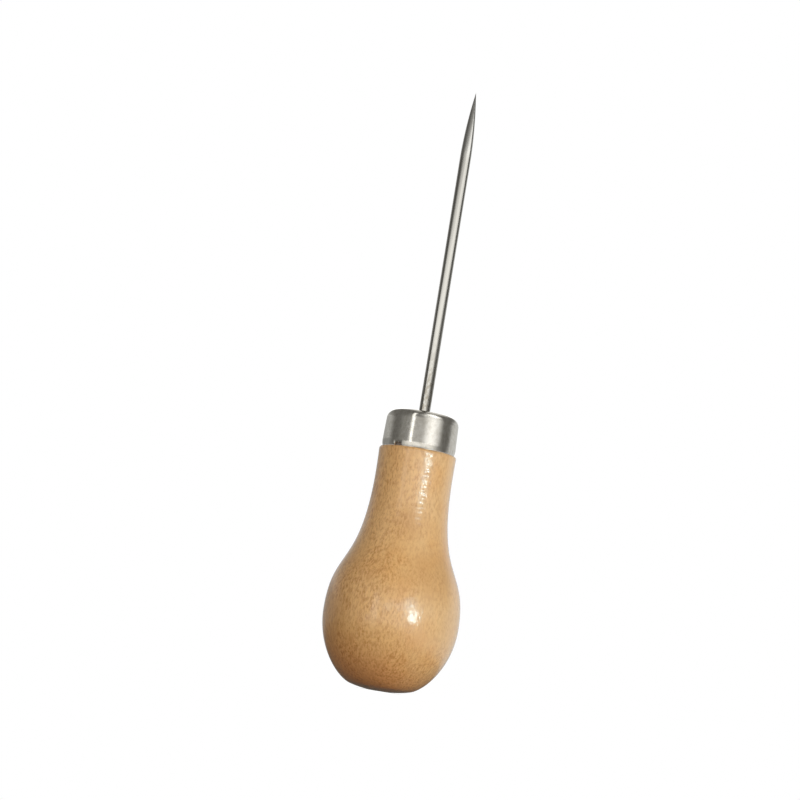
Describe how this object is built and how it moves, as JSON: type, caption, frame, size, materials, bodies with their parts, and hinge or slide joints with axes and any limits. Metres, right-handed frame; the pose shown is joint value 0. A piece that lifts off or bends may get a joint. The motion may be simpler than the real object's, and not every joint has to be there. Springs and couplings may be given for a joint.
{
  "type": "stitching awl",
  "caption": "Stitching awl with a turned gourd-shaped wooden handle, a drawn steel ferrule and a slim round steel blade ground to a sharp point, for piercing leather by hand.",
  "frame": {"origin": "centre of the small flat on the handle's butt, on which the awl stands", "axes": "+Z along the tool's axis from the butt to the point, -Y the front that shows the ferrule's stake notch, +X to the right of that front"},
  "size_m": [0.0242, 0.0242, 0.11],
  "materials": {
    "lacquered_wood": "pale honey hardwood under thin gloss lacquer",
    "ferrule_steel": "bright plated, lightly scuffed",
    "blade_steel": "drawn rod with a ground point"
  },
  "bodies": {
    "root": {"handle": "lacquered_wood", "ferrule": "ferrule_steel", "blade": "blade_steel"}
  },
  "joints": []
}
